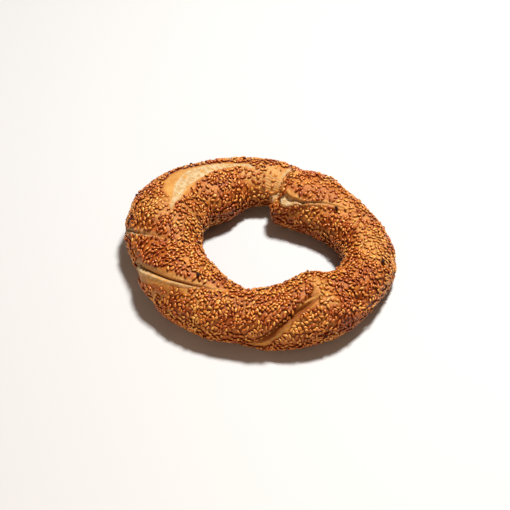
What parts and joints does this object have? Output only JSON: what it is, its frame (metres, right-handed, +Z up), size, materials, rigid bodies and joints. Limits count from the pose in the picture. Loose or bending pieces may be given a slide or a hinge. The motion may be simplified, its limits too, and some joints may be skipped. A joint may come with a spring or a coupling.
{
  "type": "simit",
  "caption": "Baked bread ring twisted from two strands of dough, split along the twist and coated with sesame, its nose end lying over its tail.",
  "frame": {"origin": "middle of the underside: centre of the bounding box in plan, on the surface the ring lies on", "axes": "+Z up out of the surface it lies on; +Y towards the overlap of the rope's ends at the back; +X to the right seen from the front"},
  "size_m": [0.1524, 0.147, 0.0354],
  "materials": {
    "sesame_crust": "toasted golden-brown crust with a dense coat of roasted sesame seeds, pale crumb in the splits; satin sheen"
  },
  "bodies": {
    "root": {"simit": "sesame_crust"}
  },
  "joints": []
}
